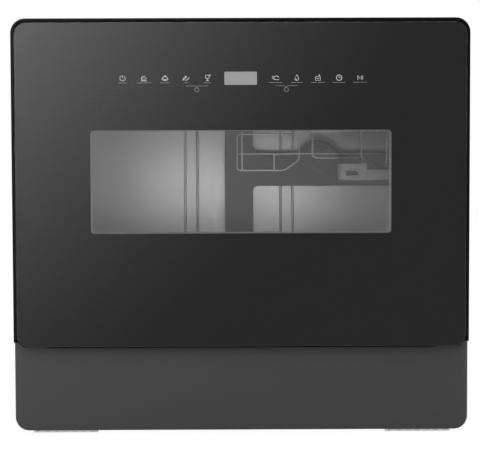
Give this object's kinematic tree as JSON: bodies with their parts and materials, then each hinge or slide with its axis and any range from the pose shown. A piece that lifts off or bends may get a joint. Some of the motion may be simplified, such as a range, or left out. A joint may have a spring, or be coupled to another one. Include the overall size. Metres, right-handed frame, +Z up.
{
  "type": "countertop dishwasher",
  "caption": "Table-top dishwasher with a drop-down glass door and window, steel tub, spray arms, rolling wire basket, cup rack, pumps and a dark plinth.",
  "frame": {"origin": "on the standing surface, under the middle of the whole machine", "axes": "+Z up, -Y out of the door, +X to the right seen from the front"},
  "size_m": [0.5, 0.48, 0.455],
  "materials": {
    "casing_plastic": "satin dark grey moulding",
    "plinth_plastic": "fine matte grey",
    "door_plastic": "black moulding",
    "print_black": "black enamel behind glass",
    "smoked_glass": "tinted, polished",
    "clear_glass": "clear pane",
    "tub_steel": "brushed stainless sheet",
    "zinc_steel": "zinc-plated sheet",
    "chrome_wire": "polished wire",
    "coated_wire": "grey dipped coating on wire",
    "seal_rubber": "black rubber",
    "foot_rubber": "pale grey rubber",
    "felt": "needled felt",
    "grey_plastic": "mid-grey moulding",
    "duct_plastic": "dark grey moulding",
    "white_plastic": "off-white moulding",
    "pale_plastic": "pale grey moulding",
    "motor_black": "black moulding",
    "valve_blue": "blue moulding",
    "display_grey": "unlit display",
    "board_green": "solder resist"
  },
  "bodies": {
    "casing": {"cabinet_wrap": "casing_plastic", "rear_panel": "zinc_steel", "base_tray": "casing_plastic", "plinth_panel": "plinth_plastic", "front_frame": "zinc_steel", "tub": "tub_steel", "insulation_felt": "felt", "door_seal": "seal_rubber", "bottom_seal": "seal_rubber", "sump": "grey_plastic", "filter_plate": "tub_steel", "softener_tank": "white_plastic", "wash_pump": "motor_black", "drain_pump": "motor_black", "flow_heater": "tub_steel", "inlet_valve": "valve_blue", "drain_spigot": "grey_plastic", "lead_gland": "seal_rubber", "control_box": "white_plastic", "air_break": "white_plastic", "wall_duct": "duct_plastic", "nozzle_head": "duct_plastic", "arm_post": "grey_plastic", "ceiling_feed": "grey_plastic", "hinge_bracket_left": "zinc_steel", "hinge_bracket_right": "zinc_steel", "latch_housing": "motor_black", "cup_rack_bracket": "grey_plastic", "utensil_holder": "pale_plastic", "feet": "foot_rubber", "rear_screws": "zinc_steel"},
    "door": {"hinge_pins": "zinc_steel", "door_frame": "door_plastic", "front_glass": "smoked_glass", "print_mask": "print_black", "inner_door_liner": "tub_steel", "window_inner_pane": "clear_glass", "window_gasket": "pale_plastic", "display_module": "display_grey", "touch_board": "board_green", "detergent_dispenser": "white_plastic", "door_striker": "zinc_steel"},
    "dispenser_lid": {"dispenser_lid": "pale_plastic"},
    "dispenser_button": {"dispenser_button": "grey_plastic"},
    "rinse_cap": {"rinse_cap": "grey_plastic"},
    "latch_lever": {"latch_lever": "pale_plastic"},
    "filter_cup": {"filter_cup": "pale_plastic"},
    "salt_cap": {"salt_cap": "white_plastic"},
    "wash_impeller": {"wash_impeller": "white_plastic"},
    "drain_impeller": {"drain_impeller": "white_plastic"},
    "lower_arm": {"lower_spray_arm": "grey_plastic"},
    "upper_arm": {"upper_spray_arm": "grey_plastic"},
    "basket": {"lower_basket": "coated_wire"},
    "roller_front_left": {"roller_front_left": "pale_plastic"},
    "roller_front_right": {"roller_front_right": "pale_plastic"},
    "roller_rear_left": {"roller_rear_left": "pale_plastic"},
    "roller_rear_right": {"roller_rear_right": "pale_plastic"},
    "cutlery": {"cutlery_basket": "grey_plastic"},
    "cup_rack": {"cup_rack": "chrome_wire"},
    "float": {"flood_float": "white_plastic"}
  },
  "joints": [
    {"name": "door_hinge", "type": "hinge", "parent": "casing", "child": "door", "pos_m": [0, -0.2305, 0.101], "axis": [1, 0, 0], "range_deg": [0, 90]},
    {"name": "basket_slide", "type": "slide", "parent": "casing", "child": "basket", "axis": [0, -1, 0], "range_m": [0, 0.012]},
    {"name": "lower_arm_spin", "type": "hinge", "parent": "casing", "child": "lower_arm", "pos_m": [0, -0.0045, 0.129], "axis": [0, 0, 1], "continuous": true},
    {"name": "upper_arm_spin", "type": "hinge", "parent": "casing", "child": "upper_arm", "pos_m": [0, -0.0045, 0.412], "axis": [0, 0, 1], "continuous": true},
    {"name": "cup_rack_swing", "type": "hinge", "parent": "casing", "child": "cup_rack", "pos_m": [0.204, 0.02, 0.302], "axis": [0, 1, 0], "range_deg": [0, 20]},
    {"name": "dispenser_lid_slide", "type": "slide", "parent": "door", "child": "dispenser_lid", "axis": [1, 0, 0], "range_m": [0, 0.05]},
    {"name": "dispenser_button_press", "type": "slide", "parent": "door", "child": "dispenser_button", "axis": [0, -1, 0], "range_m": [0, 0.0025], "stiffness_N_per_m": 600},
    {"name": "rinse_cap_turn", "type": "hinge", "parent": "door", "child": "rinse_cap", "pos_m": [0.038, -0.1945, 0.1771], "axis": [0, 1, 0], "range_deg": [0, 90]},
    {"name": "latch_lever_swing", "type": "hinge", "parent": "casing", "child": "latch_lever", "pos_m": [0.016, -0.166, 0.4434], "axis": [0, 0, 1], "range_deg": [0, 8], "stiffness_Nm_per_rad": 0.5},
    {"name": "filter_turn", "type": "hinge", "parent": "casing", "child": "filter_cup", "pos_m": [-0.112, -0.0045, 0.118], "axis": [0, 0, 1], "range_deg": [0, 90]},
    {"name": "salt_cap_turn", "type": "hinge", "parent": "casing", "child": "salt_cap", "pos_m": [0.148, -0.1255, 0.118], "axis": [0, 0, 1], "range_deg": [0, 90]},
    {"name": "wash_impeller_spin", "type": "hinge", "parent": "casing", "child": "wash_impeller", "pos_m": [0, -0.0045, 0.05], "axis": [1, 0, 0], "continuous": true},
    {"name": "drain_impeller_spin", "type": "hinge", "parent": "casing", "child": "drain_impeller", "pos_m": [-0.112, 0.0555, 0.05], "axis": [0, 1, 0], "continuous": true},
    {"name": "cutlery_lift", "type": "slide", "parent": "basket", "child": "cutlery", "axis": [0, 0, 1], "range_m": [0, 0.08]},
    {"name": "float_rise", "type": "slide", "parent": "casing", "child": "float", "axis": [0, 0, 1], "range_m": [0, 0.008]},
    {"name": "roller_front_left_turn", "type": "hinge", "parent": "basket", "child": "roller_front_left", "pos_m": [0, -0.128, 0.1303], "axis": [1, 0, 0], "range_deg": [-60, 60]},
    {"name": "roller_front_right_turn", "type": "hinge", "parent": "basket", "child": "roller_front_right", "pos_m": [0, -0.128, 0.1303], "axis": [1, 0, 0], "range_deg": [-60, 60]},
    {"name": "roller_rear_left_turn", "type": "hinge", "parent": "basket", "child": "roller_rear_left", "pos_m": [0, 0.102, 0.1303], "axis": [1, 0, 0], "range_deg": [-60, 60]},
    {"name": "roller_rear_right_turn", "type": "hinge", "parent": "basket", "child": "roller_rear_right", "pos_m": [0, 0.102, 0.1303], "axis": [1, 0, 0], "range_deg": [-60, 60]}
  ],
  "couplings": [
    {"joint": "roller_front_left_turn", "follows": "basket_slide", "rad_per_m": 83.333},
    {"joint": "roller_front_right_turn", "follows": "basket_slide", "rad_per_m": 83.333},
    {"joint": "roller_rear_left_turn", "follows": "basket_slide", "rad_per_m": 83.333},
    {"joint": "roller_rear_right_turn", "follows": "basket_slide", "rad_per_m": 83.333}
  ]
}
